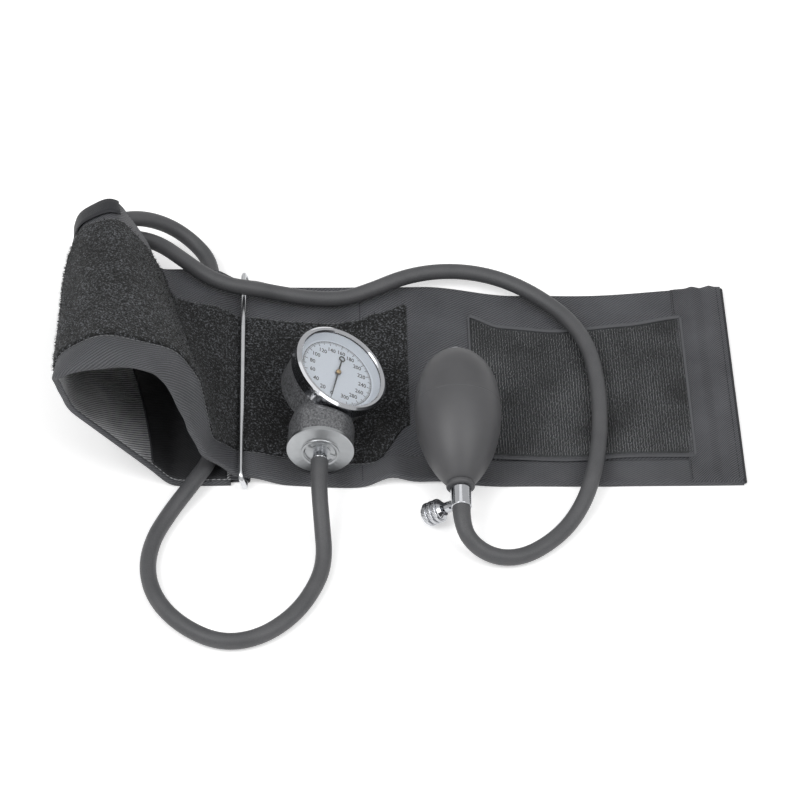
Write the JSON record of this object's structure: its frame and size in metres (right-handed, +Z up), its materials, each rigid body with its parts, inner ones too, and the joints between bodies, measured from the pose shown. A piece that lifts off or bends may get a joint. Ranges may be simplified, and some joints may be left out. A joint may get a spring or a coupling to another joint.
{
  "type": "upper arm blood pressure monitor",
  "caption": "Aneroid blood pressure set: cloth arm cuff looped through a ring, dial gauge on a short stem, rubber bulb with release valve, joined by rubber hoses.",
  "frame": {"origin": "on the resting face of the cuff's lining, at the middle of the band's width, 93 mm from the line where the band passes through its ring", "axes": "+X along the flat band to its free end, +Y across the band to the side where the hoses leave, +Z up from the table"},
  "size_m": [0.3851, 0.3002, 0.1133],
  "materials": {
    "twill": "woven nylon twill, matt",
    "lining_cloth": "ribbed nylon twill, matt",
    "fleece": "needled fleece",
    "velour": "brushed loop velour",
    "hooks": "woven hook tape in ribs",
    "hem_tape": "woven tape",
    "label_cloth": "satin ribbon, bare",
    "bladder_rubber": "smooth",
    "hose_rubber": "semi-matt",
    "bulb_rubber": "matt",
    "seal_rubber": "smooth",
    "chrome": "polished plate",
    "ring_steel": "nickel plate",
    "satin_steel": "satin",
    "spring_bronze": "bright",
    "movement_brass": "bright",
    "capsule_metal": "pressed sheet",
    "hammered_paint": "hammered grey",
    "dial_print": "printed white",
    "pointer_black": "matt black",
    "bright_ring": "bright turned",
    "clear_lens": "clear",
    "valve_plastic": "moulded"
  },
  "bodies": {
    "cuff_set": {"cuff_outer_cloth": "twill", "cuff_lining": "lining_cloth", "bladder": "bladder_rubber", "front_binding": "hem_tape", "rear_binding": "hem_tape", "loop_pad": "velour", "size_label": "label_cloth", "cuff_interlining": "fleece", "hook_pad": "hooks", "end_tab": "hem_tape", "ring_hem": "twill", "bulb": "bulb_rubber", "intake_valve_housing": "chrome", "intake_filter_screen": "satin_steel", "valve_body": "chrome", "outlet_valve_seat": "seal_rubber", "outlet_ball_cage": "valve_plastic", "gauge_case": "hammered_paint", "base_cap": "chrome", "base_cap_seal": "seal_rubber", "gauge_nozzle": "chrome", "bezel": "chrome", "dial_ring": "bright_ring", "lens_gasket": "seal_rubber", "lens": "clear_lens", "dial": "dial_print", "movement_base_plate": "movement_brass", "movement_top_plate": "movement_brass", "movement_pillars": "movement_brass", "movement_screws": "satin_steel", "rocker_bearings": "movement_brass", "hairspring": "spring_bronze", "diaphragm_capsule": "capsule_metal", "base_plate_screws": "satin_steel", "bulb_hose": "hose_rubber", "gauge_hose": "hose_rubber", "inflation_port": "bladder_rubber", "gauge_port": "bladder_rubber"},
    "d_ring": {"d_ring": "ring_steel"},
    "sector": {"sector_gear": "movement_brass"},
    "needle": {"pinion_arbor": "movement_brass", "pointer": "pointer_black", "hub_cap": "movement_brass"},
    "rocker": {"rocker_shaft": "satin_steel"},
    "capsule_lift": {"capsule_post": "movement_brass"},
    "release_slide": {"spindle_seal": "seal_rubber"},
    "release_screw": {"release_spindle": "satin_steel", "release_knob": "chrome"},
    "intake_flap": {"intake_valve_disc": "seal_rubber"},
    "outlet_ball": {"outlet_valve_ball": "satin_steel"}
  },
  "joints": [
    {"name": "ring_swing", "type": "hinge", "parent": "cuff_set", "child": "d_ring", "pos_m": [-0.089, -0.001, 0.0025], "axis": [0, 1, 0], "range_deg": [0, 24]},
    {"name": "sector_turn", "type": "hinge", "parent": "cuff_set", "child": "sector", "pos_m": [-0.04079, -0.0425, 0.03202], "axis": [0.4993, -0.0262, 0.866], "range_deg": [0, 41.25], "stiffness_Nm_per_rad": 0.002, "springref_deg": -5.73},
    {"name": "needle_turn", "type": "hinge", "parent": "cuff_set", "child": "needle", "pos_m": [-0.03985, -0.02452, 0.03202], "axis": [0.4993, -0.0262, 0.866], "range_deg": [-330, 0]},
    {"name": "rocker_turn", "type": "hinge", "parent": "cuff_set", "child": "rocker", "pos_m": [-0.04395, -0.02431, 0.03012], "axis": [0.0523, 0.9986, 0], "range_deg": [0, 22]},
    {"name": "capsule_post_lift", "type": "slide", "parent": "cuff_set", "child": "capsule_lift", "axis": [0.4993, -0.0262, 0.866], "range_m": [0, 0.0015]},
    {"name": "release_slide", "type": "slide", "parent": "cuff_set", "child": "release_slide", "axis": [-0.788, 0.0963, -0.6081], "range_m": [0, 0.0014]},
    {"name": "release_turn", "type": "hinge", "parent": "release_slide", "child": "release_screw", "pos_m": [0.0292, -0.10509, 0.02011], "axis": [-0.788, 0.0963, -0.6081], "range_deg": [0, 720]},
    {"name": "intake_lift", "type": "slide", "parent": "cuff_set", "child": "intake_flap", "axis": [0, -0.9877, -0.1564], "range_m": [0, 0.0016], "stiffness_N_per_m": 20},
    {"name": "outlet_lift", "type": "slide", "parent": "cuff_set", "child": "outlet_ball", "axis": [0, -0.9877, -0.1564], "range_m": [0, 0.0014]}
  ],
  "couplings": [
    {"joint": "needle_turn", "follows": "sector_turn", "ratio": -8},
    {"joint": "rocker_turn", "follows": "sector_turn", "ratio": 0.53333},
    {"joint": "capsule_post_lift", "follows": "sector_turn", "m_per_rad": 0.0020835},
    {"joint": "release_turn", "follows": "release_slide", "rad_per_m": 8976}
  ]
}
